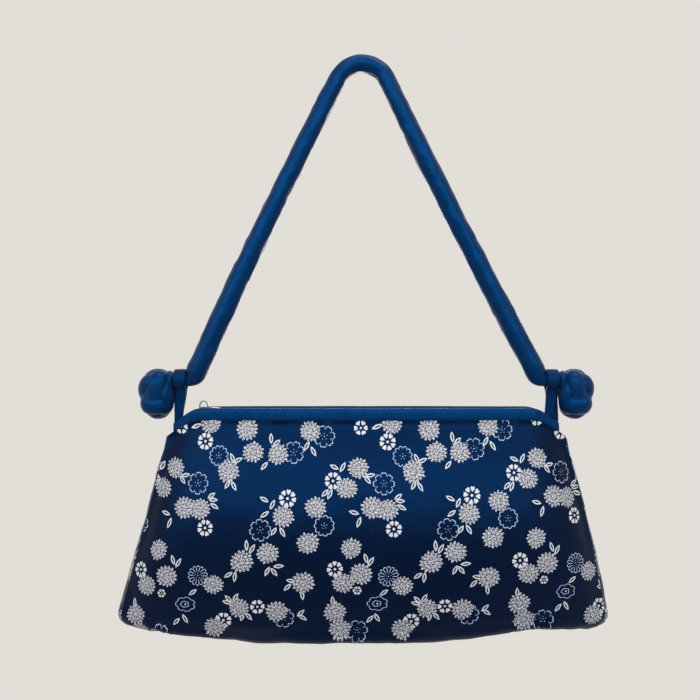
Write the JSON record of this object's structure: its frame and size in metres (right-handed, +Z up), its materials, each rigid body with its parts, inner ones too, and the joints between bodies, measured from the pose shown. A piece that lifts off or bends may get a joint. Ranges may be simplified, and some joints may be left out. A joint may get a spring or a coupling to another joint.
{
  "type": "zip-top shoulder bag",
  "caption": "Small wide zip-top fabric shoulder bag with sagging belly, hung by a padded tube handle that runs through corner loops and ends in wrapped button knots.",
  "frame": {"origin": "the hang point, on the underside of the handle's top bend, where whatever holds the bag up touches it", "axes": "+X to the right of the front, +Y to the back, +Z up"},
  "size_m": [0.3002, 0.066, 0.3595],
  "materials": {
    "satin": "plain blue satin with a soft sheen",
    "brocade": "navy satin ground with woven silver white chrysanthemums, blossoms and leaves",
    "lining": "matt navy lining cloth",
    "zip_tape": "navy herringbone tape",
    "zip_coil": "navy nylon coil",
    "zip_metal": "bright silver metal"
  },
  "bodies": {
    "handle": {"handle": "satin", "knot_left": "satin", "knot_right": "satin"},
    "bag": {"front_panel": "brocade", "back_panel": "brocade", "gusset_left": "brocade", "gusset_right": "brocade", "bottom_panel": "brocade", "lining": "lining", "binding_front": "satin", "binding_back": "satin", "loop_left": "satin", "loop_right": "satin", "zip_tape_front": "zip_tape", "zip_tape_back": "zip_tape", "zip_coil_front": "zip_coil", "zip_coil_back": "zip_coil", "zip_top_stop_front": "zip_metal", "zip_top_stop_back": "zip_metal", "zip_bottom_stop": "zip_metal"},
    "slider": {"zip_slider": "zip_metal"},
    "pull": {"zip_pull": "zip_metal"}
  },
  "joints": [
    {"name": "bag_swing", "type": "hinge", "parent": "handle", "child": "bag", "pos_m": [0.0025, 0, -0.19], "axis": [1, 0, 0], "range_deg": [-120, 120]},
    {"name": "zip_travel", "type": "slide", "parent": "bag", "child": "slider", "axis": [1, 0, 0], "range_m": [0, 0.1982]},
    {"name": "pull_swing", "type": "hinge", "parent": "slider", "child": "pull", "pos_m": [-0.0979, 0, -0.20695], "axis": [0, -1, 0], "range_deg": [0, 140]}
  ]
}
